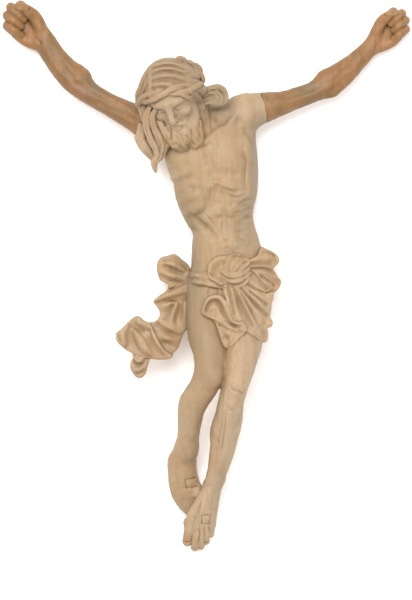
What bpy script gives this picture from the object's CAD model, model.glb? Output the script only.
import math

import bpy
import numpy as np
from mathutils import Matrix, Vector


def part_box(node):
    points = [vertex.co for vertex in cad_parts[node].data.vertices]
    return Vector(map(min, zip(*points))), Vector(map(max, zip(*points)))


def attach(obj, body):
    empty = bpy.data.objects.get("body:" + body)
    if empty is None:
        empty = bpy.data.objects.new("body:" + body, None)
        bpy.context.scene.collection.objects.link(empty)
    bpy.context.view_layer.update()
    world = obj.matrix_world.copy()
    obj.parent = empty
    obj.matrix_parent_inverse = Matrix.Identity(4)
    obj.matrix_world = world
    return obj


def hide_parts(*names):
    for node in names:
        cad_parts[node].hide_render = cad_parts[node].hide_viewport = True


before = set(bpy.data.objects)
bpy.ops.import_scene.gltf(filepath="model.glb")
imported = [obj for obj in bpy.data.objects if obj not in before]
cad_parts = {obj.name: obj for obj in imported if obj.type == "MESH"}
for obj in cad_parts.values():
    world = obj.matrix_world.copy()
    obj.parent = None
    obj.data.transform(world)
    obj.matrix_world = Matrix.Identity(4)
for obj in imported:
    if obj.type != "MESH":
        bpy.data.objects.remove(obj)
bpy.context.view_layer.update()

import openvdb
from mathutils import Matrix, Vector

figure = {
    "height": 400.0,  # real height from crown to toes, in millimetres
    "drawnHeight": 400.0,  # the same on the drawing, so their share scales the whole figure
    "cell": 0.56,  # step of the carving grid
    "corpusTriangles": 190000,
    "armTriangles": 45000,
    "glueLine": 0.3,  # gap between an arm and its shoulder
    "nailHead": 6.4,  # side of the square nail heads on the feet
    "corpusRoom": ((-84, -232), (76, 190, 96)),  # grid of the corpus, which starts just under its back
    "corpusKnife": ((4.6, 10, 6.4), 0.58, 3),  # size of the knife cuts, their depth and their seed
    "armKnife": ((7, 7, 6), 0.42, 5),
}
far = 1e3  # distance where there is no wood yet
backPlane = ((0, 0, 0), (0, 0, -1))
unit = figure["height"] / figure["drawnHeight"] / 1000  # metres for each drawn millimetre


def turned(turnX, turnY, turnZ):
    # matrix of turns about X, then Y, then Z, in degrees
    x, y, z = (Matrix.Rotation(math.radians(a), 3, axis) for a, axis in zip((turnX, turnY, turnZ), "XYZ"))
    return np.array(z @ y @ x)


def alongCurve(points, count):
    # places along a smooth curve that passes through every point
    pts = np.array(points, float)
    pts = np.vstack([2 * pts[0] - pts[1], pts, 2 * pts[-1] - pts[-2]])
    out = []
    for s in np.linspace(0, len(points) - 1, count + 1):
        k = min(int(s), len(points) - 2)
        w = s - k
        p0, p1, p2, p3 = pts[k:k + 4]
        t1, t2 = 0.5 * (p2 - p0), 0.5 * (p3 - p1)
        third = 2 * p1 - 2 * p2 + t1 + t2
        second = -3 * p1 + 3 * p2 - 2 * t1 - t2
        out.append(third * w ** 3 + second * w ** 2 + t1 * w + p1)
    return np.array(out)


def eggDistance(u, v, w, a, b, c):
    # close to the true distance near an ellipsoid of half sizes a, b and c
    u, v, w = u / a, v / b, w / c
    near = np.sqrt(u * u + v * v + w * w)
    slope = np.sqrt((u / a) ** 2 + (v / b) ** 2 + (w / c) ** 2)
    return near * (near - 1) / np.maximum(slope, 1e-6)


def limb(stations, steps=3, strands=None):
    # a round or oval bar through stations of x, y, z, half width, half depth
    # strands are a number of cords, how deep the lines between them are, and their twist on each millimetre
    rows = np.array([s if len(s) == 5 else (*s, s[3]) for s in stations], float)
    rings = alongCurve(rows, (len(rows) - 1) * steps)
    steep = 0.96  # share of Z from which a bar counts as upright
    pieces = []
    travelled = 0.0
    for a, b in zip(rings[:-1], rings[1:]):
        along = b[:3] - a[:3]
        length = np.linalg.norm(along)
        along = along / length
        up = np.array([0, 1, 0.0]) if abs(along[2]) > steep else np.array([0, 0, 1.0])
        across = np.cross(along, up)
        across /= np.linalg.norm(across)
        deep = np.cross(across, along)
        reach = max(a[3], a[4], b[3], b[4])
        pieces.append({
            "a": a, "b": b, "along": along, "length": length, "across": across, "deep": deep,
            "travelled": travelled, "strands": strands, "distance": limbDistance,
            "low": np.minimum(a[:3], b[:3]) - reach, "high": np.maximum(a[:3], b[:3]) + reach,
        })
        travelled += length
    return pieces


def limbDistance(piece, x, y, z):
    a, b = piece["a"], piece["b"]
    dx, dy, dz = x - np.float32(a[0]), y - np.float32(a[1]), z - np.float32(a[2])
    along, across, deep = (piece[k].astype(np.float32) for k in ("along", "across", "deep"))
    run = dx * along[0] + dy * along[1] + dz * along[2]
    t = np.clip(run / np.float32(piece["length"]), 0, 1)
    wide = np.float32(a[3]) + np.float32(b[3] - a[3]) * t
    thick = np.float32(a[4]) + np.float32(b[4] - a[4]) * t
    past = run - t * np.float32(piece["length"])
    u = dx * across[0] + dy * across[1] + dz * across[2]
    v = dx * deep[0] + dy * deep[1] + dz * deep[2]
    d = eggDistance(u, v, past, wide, thick, np.minimum(wide, thick))
    if piece["strands"]:
        number, depth, twist = piece["strands"]
        angle = np.arctan2(v, u) * number + (run + np.float32(piece["travelled"])) * np.float32(twist)
        line = (0.5 + 0.5 * np.cos(angle)) ** 2
        d = d + np.float32(depth) * (line - 0.3) * np.minimum(np.minimum(wide, thick) / 2.4, 1)
    return d


def ball(place, radii, turn=(0, 0, 0)):
    matrix = turn if isinstance(turn, np.ndarray) else turned(*turn)
    place = np.array(place, float)
    reach = max(radii)
    return [{"place": place, "radii": radii, "matrix": matrix, "low": place - reach, "high": place + reach,
             "distance": ballDistance}]


def ballDistance(piece, x, y, z):
    (px, py, pz), m = piece["place"], piece["matrix"].astype(np.float32)
    dx, dy, dz = x - np.float32(px), y - np.float32(py), z - np.float32(pz)
    u = dx * m[0, 0] + dy * m[1, 0] + dz * m[2, 0]
    v = dx * m[0, 1] + dy * m[1, 1] + dz * m[2, 1]
    w = dx * m[0, 2] + dy * m[1, 2] + dz * m[2, 2]
    return eggDistance(u, v, w, *(np.float32(r) for r in piece["radii"]))


def softMin(a, b, fillet):
    # the nearer of two distances, with a fillet where they meet
    near = np.maximum(fillet - np.abs(a - b), 0) / fillet
    return np.minimum(a, b) - near * near * (fillet / 4)


def lineDistance(a, b, x, y):
    # distance in plan from the line a to b, and how far along it the nearest place is
    ax, ay, bx, by = a[0], a[1], b[0], b[1]
    t = np.clip(((x - ax) * (bx - ax) + (y - ay) * (by - ay)) / ((bx - ax) ** 2 + (by - ay) ** 2), 0, 1)
    return np.hypot(x - ax - t * (bx - ax), y - ay - t * (by - ay)), t


def outlineDistance(outline, x, y):
    # distance in plan from a smooth closed outline, below zero inside it
    ring = alongCurve([*outline[-2:], *outline, *outline[:3]], 3 * (len(outline) + 4))[6:-9]
    nearest = np.full(x.shape, far)
    inside = np.zeros(x.shape, bool)
    for a, b in zip(ring, np.roll(ring, -1, axis=0)):
        if a[0] == b[0] and a[1] == b[1]:
            continue
        nearest = np.minimum(nearest, lineDistance(a, b, x, y)[0])
        crosses = (a[1] > y) != (b[1] > y)
        if a[1] != b[1]:
            inside ^= crosses & (x < a[0] + (y - a[1]) * (b[0] - a[0]) / (b[1] - a[1]))
    return np.where(inside, -nearest, nearest)


def foldHeight(folds, x, y, reach=9.0):
    # height at each place between folds, which are lines of x, y, height along crests and hollows
    total, weight = np.zeros(x.shape), np.zeros(x.shape)
    for fold in folds:
        nearest, height = np.full(x.shape, far), np.zeros(x.shape)
        smooth = alongCurve(fold, 3 * (len(fold) - 1))
        for a, b in zip(smooth[:-1], smooth[1:]):
            d, t = lineDistance(a, b, x, y)
            closer = d < nearest
            nearest = np.where(closer, d, nearest)
            height = np.where(closer, a[2] + t * (b[2] - a[2]), height)
        share = np.maximum(reach - nearest, 0) ** 2 / (nearest ** 1.4 + 0.06) + 1e-5 / (nearest + 1) ** 2
        total += share * height
        weight += share
    return total / weight


def spread(values, reach):
    # mean of the values within a square
    width = 2 * reach + 1
    for axis in (0, 1):
        rim = np.pad(np.moveaxis(values, axis, 0), ((reach, reach), (0, 0)), mode="edge")
        total = sum(rim[n:len(rim) - 2 * reach + n] for n in range(width))
        values = np.moveaxis(total, 0, axis) / width
    return values


class Block:
    # a grid of distances to the surface, below zero inside the wood
    def __init__(self, low, high, cell):
        self.low = np.array(low, float)
        self.cell = cell
        self.size = [int(math.ceil((h - l) / cell)) + 1 for l, h in zip(low, high)]
        self.value = np.full(self.size, far, np.float32)

    def window(self, low, high):
        # the part of the grid in a box, and its places along the three axes
        first = [max(0, int(math.floor((l - o) / self.cell))) for l, o in zip(low, self.low)]
        last = [min(n, int(math.ceil((h - o) / self.cell)) + 1) for h, o, n in zip(high, self.low, self.size)]
        if any(a >= b for a, b in zip(first, last)):
            return None
        axes = [(self.low[i] + self.cell * np.arange(first[i], last[i])).astype(np.float32) for i in range(3)]
        return tuple(slice(a, b) for a, b in zip(first, last)), np.ix_(*axes)

    def measure(self, pieces, margin):
        # distances to the nearest of the pieces
        low = np.min([p["low"] for p in pieces], axis=0) - margin
        high = np.max([p["high"] for p in pieces], axis=0) + margin
        place, _ = self.window(low, high)
        local = np.full([s.stop - s.start for s in place], far, np.float32)
        for piece in pieces:
            inner = self.window(piece["low"] - margin, piece["high"] + margin)
            if not inner:
                continue
            part, (x, y, z) = inner
            shifted = tuple(slice(s.start - o.start, s.stop - o.start) for s, o in zip(part, place))
            local[shifted] = np.minimum(local[shifted], piece["distance"](piece, x, y, z))
        return place, local

    def add(self, pieces, fillet=1.0):
        place, local = self.measure(pieces, fillet + 2 * self.cell)
        self.value[place] = softMin(self.value[place], local, np.float32(fillet))

    def cut(self, pieces, fillet=0.6):
        place, local = self.measure(pieces, fillet + 2 * self.cell)
        self.value[place] = -softMin(-self.value[place], local, np.float32(fillet))

    def fronts(self, column):
        # heights of the front surface over columns of the grid
        inside = column < 0
        found = inside.any(axis=-1)
        k = column.shape[-1] - 1 - np.argmax(inside[..., ::-1], axis=-1)
        here = np.take_along_axis(column, k[..., None], -1)[..., 0]
        above = np.take_along_axis(column, np.minimum(k + 1, column.shape[-1] - 1)[..., None], -1)[..., 0]
        above = np.clip(above, 1e-6, self.cell)
        height = self.low[2] + self.cell * (k - here / (above - here))
        return np.where(found, height, self.low[2])

    def front(self, x, y):
        # height of the front surface over one place
        i = min(max((x - self.low[0]) / self.cell, 0), self.size[0] - 1.001)
        j = min(max((y - self.low[1]) / self.cell, 0), self.size[1] - 1.001)
        i0, j0 = int(i), int(j)
        s, t = i - i0, j - j0
        v = self.value[i0:i0 + 2, j0:j0 + 2]
        lower = (1 - s) * v[0, 0] + s * v[1, 0]
        upper = (1 - s) * v[0, 1] + s * v[1, 1]
        return float(self.fronts((1 - t) * lower + t * upper))

    def sheet(self, outline, folds, back=None, least=0.0, edge=1.1, fillet=0.7):
        # a piece of cloth with its folds; heights are over the wood where no back is given
        corner = np.array(outline)
        place, (x, y, z) = self.window((*corner.min(0) - 3, -2), (*corner.max(0) + 3, 100))
        plan = np.broadcast_arrays(x[:, :, 0], y[:, :, 0])
        top = foldHeight(folds, *plan)
        if back is None:
            base = spread(np.maximum(self.fronts(self.value[place]), least), max(1, round(1.2 / self.cell)))
            top, back = base + top, base - 12
        else:
            back = np.full(top.shape, float(back))
        slopeX, slopeY = np.gradient(top, self.cell)
        steep = np.sqrt(1 + np.minimum(slopeX ** 2 + slopeY ** 2, 9)).astype(np.float32)[:, :, None]
        side = (outlineDistance(outline, *plan) + edge).astype(np.float32)[:, :, None]
        top, back = (v.astype(np.float32)[:, :, None] for v in (top, back))
        face = np.maximum((z - top) / steep, back - z) + edge
        d = np.minimum(np.maximum(side, face), 0) + np.hypot(np.maximum(side, 0), np.maximum(face, 0)) - edge
        self.value[place] = softMin(self.value[place], d, np.float32(fillet))

    def emboss(self, outline, folds, depth=6.0, fade=2.0, reach=9.0):
        # raises and lowers the front surface inside an outline by the folds' heights
        corner = np.array(outline)
        place, (x, y, z) = self.window((*corner.min(0), -2), (*corner.max(0), 100))
        plan = np.broadcast_arrays(x[:, :, 0], y[:, :, 0])
        share = np.clip(-outlineDistance(outline, *plan) / fade, 0, 1)
        height = foldHeight(folds, *plan, reach) * share * share * (3 - 2 * share)
        height = height.astype(np.float32)[:, :, None]
        base = self.fronts(self.value[place]).astype(np.float32)[:, :, None]
        self.value[place] -= height * np.clip((z - base + depth) / 2, 0, 1)

    def keepBehind(self, place, direction, offset=0.0):
        # cuts everything beyond a plane
        aim = np.array(direction, float) / np.linalg.norm(direction)
        base = float(np.dot(place, aim)) + offset
        _, (x, y, z) = self.window(self.low, self.low + np.array(self.size) * self.cell)
        for k in range(self.size[2]):
            beyond = x[:, :, 0] * aim[0] + y[:, :, 0] * aim[1] + z[0, 0, k] * aim[2] - base
            self.value[:, :, k] = np.maximum(self.value[:, :, k], beyond.astype(np.float32))

    def facets(self, size, depth, seed):
        # shallow knife cuts all over: soft random bumps of about this size
        rng = np.random.default_rng(seed)
        span = np.array(self.size) * self.cell
        net = rng.random([int(s / w) + 3 for s, w in zip(span, size)]).astype(np.float32)
        steps = [np.arange(n) * self.cell / w for n, w in zip(self.size, size)]
        for axis, at in enumerate(steps):
            i = at.astype(int)
            f = (at - i).astype(np.float32)
            f = (f * f * (3 - 2 * f)).reshape([-1 if a == axis else 1 for a in range(3)])
            net = np.take(net, i, axis) * (1 - f) + np.take(net, i + 1, axis) * f
        self.value += np.float32(depth) * (np.abs(2 * net - 1) - 0.4)

    def close(self):
        # no wood on the rim of the grid
        for axis in range(3):
            for end in (0, -1):
                rim = [slice(None)] * 3
                rim[axis] = end
                self.value[tuple(rim)] = np.maximum(self.value[tuple(rim)], self.cell / 2)


def trace(wood, route, lift=0.0, wide=2.0, deep=None, ends=0.6, least=0.0, strands=None):
    # a limb laid on the front of the wood along a route of x, y
    deep = wide if deep is None else deep
    last = len(route) - 1
    stations = []
    for n, (x, y) in enumerate(r[:2] for r in route):
        swell = ends if n in (0, last) else 1
        stations.append((x, y, max(wood.front(x, y), least) + lift, wide * swell, deep * swell))
    return limb(stations, strands=strands)


def ridge(wood, route, fillet=1.0, **shape):
    wood.add(trace(wood, route, **shape), fillet)


def groove(wood, route, fillet=1.5, **shape):
    wood.cut(trace(wood, route, **shape), fillet)


def crease(wood, route, deep=0.9, wide=0.9, ends=0.4, fillet=0.6):
    # a knife cut that fades at both ends
    tall = wide * 1.4
    wood.cut(trace(wood, route, lift=tall - deep, wide=wide, deep=tall, ends=ends), fillet)


armShapes = {
    # swellings are place, radii and turn, and hollows are the routes of grooves down the arm
    # the arm is cut off square to the way it leaves, at its joint, and the block stays clear of it
    # the fist is built from the wrist, along its reach, with the thumb on the thumb's side
    "left": {
        "arm": [
            (28, 132, 24, 15, 15), (38, 135.4, 24, 13.8, 14), (46, 137.4, 24, 12.6, 12.6),
            (63, 141.8, 23, 9.4, 10.6), (76, 146.4, 22, 8.8, 9.6), (87, 150.6, 21, 8.3, 9),
            (98, 157, 19.6, 10.8, 9), (110, 165, 17.6, 10.4, 8.8), (120.5, 174.2, 14.6, 8.4, 7.6),
            (129, 182.6, 11.6, 7.3, 6.4), (135, 188.4, 10, 6.8, 6),
        ],
        "swellings": [
            ((103, 157, 19), (9, 7.6, 8), 30), ((101.6, 149.6, 19), (4.6, 3, 5), 20),
            ((94.6, 164.4, 20), (4.4, 2.8, 4), 40),
        ],
        "hollows": [
            [(80, 152.4), (88, 155), (97, 157.4)], [(64, 146), (75, 149.6), (86, 152.6)],
            [(104, 158), (113, 168.4), (122, 178)], [(99, 147.6), (108, 155.4), (116, 163.6)],
        ],
        "joint": (46, 137.6, 24), "leaves": (0.97, 0.2, -0.12), "clear": 6,
        "wrist": (136, 189, 9), "reach": (0.74, 0.67, 0), "thumbSide": 1, "fist": 1.0,
        "room": ((24, 112, -1.12), (176, 234, 42)),
    },
    "right": {
        "arm": [
            (-43, 120.6, 24, 14, 14.6), (-51, 125, 24, 12, 13), (-59, 129.8, 23.6, 10.9, 11.6),
            (-74, 137.6, 22.6, 9.4, 10.4), (-87.4, 144.9, 21, 8.9, 9.6), (-97.6, 151.6, 19.8, 9.6, 9.2),
            (-106, 160.4, 18.6, 11.8, 9.2), (-115.4, 169, 17, 10.6, 8.8), (-124.2, 180, 14, 9.4, 7.6),
            (-132.6, 193.2, 11.4, 8.8, 6.6),
        ],
        "swellings": [((-104, 159, 19), (9.4, 7.6, 8), -45), ((-99.6, 166.4, 19), (5, 2.8, 4.6), -42)],
        "hollows": [
            [(-64, 134), (-77, 142.2), (-93, 152.4)], [(-60, 127.6), (-74, 134.4), (-88, 141)],
            [(-109, 161.6), (-117, 171.4), (-125.4, 184)], [(-97, 151.4), (-103, 155), (-108, 157)],
        ],
        "joint": (-52, 126, 24), "leaves": (-0.88, 0.47, 0), "clear": 3.4,
        "wrist": (-132.4, 191.4, 10.2), "reach": (-0.76, 0.65, 0), "thumbSide": -1, "fist": 1.12,
        "room": ((-176, 100, -1.12), (-30, 234, 42)),
    },
}


def carveTrunk(wood):
    wood.add(limb([
        (0, 121, 23, 34, 16), (1, 108, 24, 36.4, 21.5), (3, 96, 25, 35.4, 24.5), (6.4, 83, 25, 33.5, 25.5),
        (7.4, 70, 25, 33, 24.5), (9.4, 57, 24, 29.4, 22.4), (12, 47, 23, 25.8, 20.4),
        (14.4, 36, 23, 25.2, 19.4), (15.6, 26, 23, 27.4, 20), (16.6, 13, 23, 29, 22.4), (17, 0, 24, 30, 25),
        (17, -14, 25, 31, 26), (17, -27, 27, 28, 22),
    ]), 1)
    wood.add(limb([
        (-45, 119, 23, 13, 13), (-22, 124, 24, 13, 14), (8, 127, 24, 13, 14), (31, 133, 24, 13.5, 13.5),
    ]), 8)
    wood.add(ball((-46, 121, 24), (13.6, 13.6, 14)), 6)
    wood.add(ball((32, 133.6, 24), (15, 14.6, 14.4), (0, 0, 15)), 6)
    wood.add(ball((-15, 100, 37.5), (18, 15, 11), (0, 0, -8)), 9)
    wood.add(ball((19, 102, 37.5), (17, 17, 11), (0, 0, 20)), 9)
    wood.add(ball((35.6, 96, 20), (5.6, 32, 13), (0, 0, 3)), 5)
    for side in armShapes.values():
        wood.add(limb(side["arm"][:3]), 3)


def carveChest(wood):
    clavicle = [(-0.4, 108.7), (5.3, 114.4), (11.8, 120.1), (18.3, 125.8), (23.9, 131.9)]
    ridge(wood, clavicle, lift=-0.9, wide=2.5, ends=0.8, fillet=3.5)
    groove(wood, [(3, 131), (9, 130), (14, 126)], lift=1.4, wide=4, fillet=5)
    groove(wood, [(10, 123.4), (15.5, 128), (21.5, 132)], lift=1.5, wide=2, fillet=2.5)
    archLeft = [(6.1, 75.5), (2, 70.6), (-0.8, 64.9), (-4.5, 57.6), (-9.3, 51.9)]
    ridge(wood, archLeft, lift=-1.8, wide=2.6, fillet=5)
    ridge(wood, [(8, 75.5), (15, 70.6), (22, 66.8), (31, 66)], lift=-2.1, wide=2.4, fillet=5)
    groove(wood, [(9, 70), (16, 63.4), (24, 60.5)], lift=2.8, wide=5, deep=4, fillet=5)
    groove(wood, [(4.6, 66), (0.6, 57), (-6, 49)], lift=2.8, wide=5, deep=4, fillet=5)
    groove(wood, [(5.3, 82.6), (14, 83), (24, 82.4)], lift=1.6, wide=3, deep=2.6, fillet=4)
    groove(wood, [(-5, 71), (-13, 71.8), (-21, 76)], lift=2.2, wide=3, deep=2.6, fillet=4)
    groove(wood, [(-1, 106), (1.5, 94), (4.5, 84)], lift=1.7, wide=2.4, deep=2.6, fillet=4)
    ribGrooves = [
        [(9.3, 73.4), (15.4, 68.4), (21.5, 65.2), (27.2, 64.3), (32.1, 67.8)],
        [(14.2, 72.2), (20.7, 69.1), (26.4, 69.3), (30.8, 72.2)],
    ]
    for route in ribGrooves:
        crease(wood, route, deep=0.6, wide=1.3, fillet=2.6)
    armpit = [(29.9, 104.7), (30.8, 97.4), (32.5, 90.9), (31.7, 84.4), (31.2, 77.9), (32.9, 71.4)]
    groove(wood, armpit, lift=1.9, wide=2.2, deep=2.4, fillet=3.5)
    crease(wood, armpit, deep=0.5, wide=0.9, fillet=1.6, ends=0.2)
    for rib in range(4):
        x, y = -23.5 + 3.6 * rib, 84 - 9.5 * rib
        ridge(wood, [(x - 3, y - 4), (x + 3, y), (x + 9, y + 2)], lift=-1.7, wide=2.6, fillet=5, least=20)
    groove(wood, [(-9, 46), (-1, 39), (5, 32.5)], lift=1.6, wide=2.6, fillet=4)
    groove(wood, [(15.6, 56), (15.4, 44), (15.4, 32)], lift=1.8, wide=2.6, fillet=4)
    groove(wood, [(24, 50), (26.6, 40), (27.6, 30)], lift=1.8, wide=2.6, fillet=4)
    ridge(wood, [(6.7, 23.6), (14.2, 25.4), (23.9, 25.4), (31.2, 26.6)], lift=-1.1, wide=2.4, fillet=4)
    wood.cut(ball((16.4, 23.6, wood.front(16.4, 23.6) + 0.8), (1.5, 1.1, 1.5)), 2)
    belly = ((9.4, 52, 35), (12.6, 53, 33), (16.4, 54, 34), (20, 52, 33), (24, 51, 34), (28, 50, 36))
    for x, high, low in belly:
        route = [(x, high), (x + 0.4, (high + low) / 2), (x, low)]
        crease(wood, route, deep=0.3, wide=0.8, fillet=1, ends=0.3)
    breastbone = 5.6
    for x, y in ((0.6, 62), (3.4, 60), (6.4, 60), (9.6, 61), (13, 62)):
        aside = x - breastbone
        rays = [(breastbone + aside * 0.3, 76), (x, 68), (x + aside * 0.5, y)]
        crease(wood, rays, deep=0.35, wide=0.9, fillet=1.2)
    for x, y in ((25.4, 49), (27, 43), (26.4, 37), (29, 33)):
        crease(wood, [(x - 2.6, y + 1.2), (x, y), (x + 2.4, y + 0.6)], deep=0.35, wide=0.7, fillet=0.8)
    crease(wood, [(-9.8, 50), (0, 40.6), (9.4, 30)], deep=0.3, wide=0.9, fillet=1.4)
    crease(wood, [(-1.4, 52), (5, 43), (10.6, 33.6)], deep=0.25, wide=0.8, fillet=1.2)
    lowRib = [(8.5, 73.8), (15.8, 70.2), (23.9, 68.4), (29, 68.8)]
    crease(wood, lowRib, deep=0.25, wide=1.2, fillet=2, ends=0.2)
    crease(wood, [(12.6, 69), (19.9, 65.4), (27.2, 63.4)], deep=0.25, wide=0.9, fillet=1.4, ends=0.2)
    chips = np.random.default_rng(9)  # seed of the small cuts on the flank
    for _ in range(10):
        x, y, angle = chips.uniform(23, 32), chips.uniform(26, 60), chips.uniform(-0.6, 0.9)
        crease(wood, [(x - 3.4, y - 3.4 * angle), (x, y + 0.8), (x + 3.4, y + 3.4 * angle)],
               deep=0.25, wide=1.3, fillet=1.5, ends=0.2)
    for x, y in ((28, 30.6), (29.6, 27)):
        crease(wood, [(x - 4.6, y + 3.4), (x, y + 0.6), (x + 4, y - 1)], deep=0.4, wide=0.8, fillet=1.4)
    groove(wood, [(-14, 51), (-5, 42.4), (2.6, 33)], lift=1.2, wide=2, fillet=3)
    for x, y in ((10, 60), (11.6, 48), (20, 59), (20.6, 47.4)):
        hollow = [(x - 3.6, y + 0.6), (x, y - 0.6), (x + 3.6, y + 0.6)]
        crease(wood, hollow, deep=0.35, wide=1.6, fillet=2.5)
    for x, y in ((33, 62), (33.6, 55), (33, 48)):
        crease(wood, [(x - 4.6, y - 2.4), (x, y), (x + 4, y + 0.6)], deep=0.4, wide=1.2, fillet=2, ends=0.3)


def carveLegs(wood):
    wood.add(limb([
        (-1, -8, 26, 16, 21), (-2, -28, 34, 14.5, 17.5), (-1, -47, 43, 14, 15), (2.6, -62, 50, 13.2, 13.4),
        (2.6, -77, 56, 12.8, 12.4), (-3, -90, 54, 11.4, 12), (-10.2, -101, 47, 11.5, 12),
        (-12.8, -113, 40, 9.8, 11.5), (-14.6, -127, 32, 8.9, 9.8), (-16, -140, 25, 9.2, 8.6),
    ]), 5)
    wood.add(ball((4.5, -80, 64.5), (7.5, 8.5, 5.5), (0, 0, 20)), 5)
    wood.add(ball((-15, -108, 40), (6.5, 15, 9), (20, 0, -8)), 5)
    wood.add(limb([
        (-16, -138, 24, 9, 8.8), (-19.6, -150, 15, 11.4, 11.4), (-19.6, -160, 13, 11.8, 11),
        (-17.4, -172, 12, 12.4, 9.5), (-15.6, -181, 9, 9.8, 8), (-13.6, -188, 7, 6, 6.5),
    ]), 4)
    wood.add(ball((-23.6, -149.6, 9), (7.6, 8, 9.6)), 3)
    wood.add(ball((-24.4, -144.6, 19), (3.6, 4.4, 3.8)), 2.2)
    wood.add(ball((-7.4, -175, 13), (4.6, 7, 7)), 3)
    wood.add(limb([
        (31, -8, 27, 17, 21), (31.5, -28, 35, 16, 18), (31, -47, 44, 15, 15.5), (29.4, -60, 51, 14, 13.8),
        (26.4, -75, 57, 12, 12.6), (22.8, -89, 58, 10.6, 12), (19.6, -101, 54, 10.2, 11.5),
        (17.4, -112, 48.6, 10.4, 11.5), (14.8, -124, 42.6, 11.8, 11), (13.4, -137, 37, 10.4, 9.5),
        (10.4, -151, 32, 8.8, 8.4), (7.4, -164, 28, 7, 8.4),
    ]), 2.6)
    wood.add(ball((25.2, -86, 66.5), (7, 8, 4.8), (0, 0, 5)), 5)
    wood.add(ball((22.5, -114, 45), (6, 15, 8.5), (20, 0, -8)), 5)
    shin = [(20.3, -103), (19.5, -120.1), (16.6, -137.1), (10.1, -155), (5.7, -169.6)]
    ridge(wood, shin, lift=-0.9, wide=2.1, deep=2, fillet=3, ends=0.8)
    wood.add(limb([
        (7.2, -163, 28, 7, 8.6), (3.6, -175, 26, 8, 9.5), (-1, -187, 24, 10.4, 8.6),
        (-4.4, -198, 20, 12.4, 7), (-6, -206, 17, 12.2, 5.6),
    ]), 4)
    wood.add(ball((3.2, -170, 20), (6.4, 8, 9)), 3)
    wood.add(ball((11.6, -163.5, 28), (3, 3.6, 3.6)), 2.5)
    wood.add(ball((2.6, -165.6, 32), (2.6, 3.4, 3.2)), 2.5)
    shinLines = [
        [(11.8, -106.3), (11.4, -122.5), (8.9, -139.6), (4.1, -159.8)],
        [(15.4, -106.3), (14.6, -122.5), (12.2, -137.9), (8.5, -150.9)],
    ]
    for route in shinLines:
        crease(wood, route, deep=0.75, wide=1.2, fillet=1.4, ends=0.3)
    kneeFold = [(18.3, -87.2), (21.5, -91.7), (25.6, -92.7), (29.6, -94.5)]
    crease(wood, kneeFold, deep=0.9, wide=1, fillet=1.6)
    crease(wood, [(15.4, -103.4), (18.6, -107.6), (22.6, -108.6)], deep=0.5, wide=1, fillet=1.8)
    crease(wood, [(2.6, -165), (1.4, -172), (-0.6, -180)], deep=0.7, wide=1, fillet=1.4)
    crease(wood, [(-8.6, -167), (-13, -170.6), (-20.6, -171.4)], deep=0.35, wide=0.9, fillet=1)


def carveFeet(wood):
    # each toe is its root, its tip and its radius, the big one first
    toes = [
        (-12.8, -200, -15.8, -214.6, 3.9), (-8, -204, -9.4, -219.8, 3), (-3.8, -205, -4.8, -218.8, 2.7),
        (0.4, -204, -0.4, -214.8, 2.6), (4.2, -201, 3.2, -209, 2.5),
    ]
    tipHeight = 13.6
    for n, (x0, y0, x1, y1, r) in enumerate(toes):
        fillet, tipFillet = (0.9, 0.8) if n < 2 else (1.6, 1.4)
        middle = ((x0 + x1) / 2, (y0 + y1) / 2, 18.6)
        wood.add(limb([(x0, y0, 19, r, r), (*middle, r * 1.02, r), (x1, y1, 14.5, r, r * 0.9)]), fillet)
        wood.add(ball((x1, y1, tipHeight), (r * 1.06, r * 1.15, r)), tipFillet)
        nail = (x1 - 0.2, y1 - 0.9, tipHeight + r * 0.98)
        wood.cut(ball(nail, (r * 0.6, r * 0.66, 0.45), (-24, 0, 0)), 0.4)
        x, y = x0 + 0.6 * (x1 - x0), y0 + 0.6 * (y1 - y0)
        crease(wood, [(x - r * 0.6, y), (x + r * 0.6, y + 0.4)], deep=0.3, wide=0.6)
    for a, b in zip(toes[1:-1], toes[2:]):
        x, y = (a[0] + b[0]) / 2, (a[1] + b[1]) / 2
        u, v = (a[2] + b[2]) / 2, (a[3] + b[3]) / 2
        between = [(x + 0.5, y + 2), (x - 0.4, y - 1), (x + 0.4, y - 5), (u, v + 3)]
        crease(wood, between, deep=0.8, wide=0.8, fillet=0.7)
    crease(wood, [(-8, -192), (-10.6, -199), (-11.6, -206)], deep=0.8, wide=1.2, fillet=1.6, ends=0.3)
    groove(wood, [(-4, -181), (-7.4, -189), (-9.4, -196)], lift=1.5, wide=2.2, fillet=2.5)
    groove(wood, [(6, -176), (5.6, -186), (5.4, -195)], lift=1.4, wide=2.2, fillet=2.5)
    ridge(wood, [(1.4, -172), (-1.6, -182), (-3.6, -192)], lift=-0.7, wide=1.6, fillet=2.5)
    wood.add(ball((-15.4, -199.6, 17), (3.4, 4, 4)), 2)
    # the square nail heads are cut in by the knife: x, y, turn, and width for each of height
    half = figure["nailHead"] / 2 + 0.3
    square = ((-half, half), (half, half), (half, -half), (-half, -half), (-half, half))
    for x, y, turn, long in ((-0.4, -197, 0, 1), (-12.2, -167.4, 12, 1.3)):
        c, t = math.cos(math.radians(turn)), math.sin(math.radians(turn))
        corners = [(x + u * long * c - v * t, y + u * long * t + v * c) for u, v in square]
        for a, b in zip(corners[:-1], corners[1:]):
            middle = ((a[0] + b[0]) / 2, (a[1] + b[1]) / 2)
            crease(wood, [a, middle, b], deep=0.8, wide=0.65, ends=0.8, fillet=0.4)
        inwards = 1.5 * long * c
        (ax, ay), (bx, by) = corners[1:3]
        crease(wood, [(ax - inwards, ay - 0.4), (bx - inwards, by + 0.4)], deep=0.4, wide=0.5, fillet=0.3)


head = {
    # places on the head are from its middle: X to its left, Y to its crown, Z to its front
    "place": np.array([-30, 149.5, 60]),
    "turn": turned(0, 0, 22) @ turned(40, 0, 0) @ turned(0, -16, 0),
}


def onHead(x, y, z):
    return tuple(head["turn"] @ np.array([x, y, z], float) + head["place"])


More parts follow.
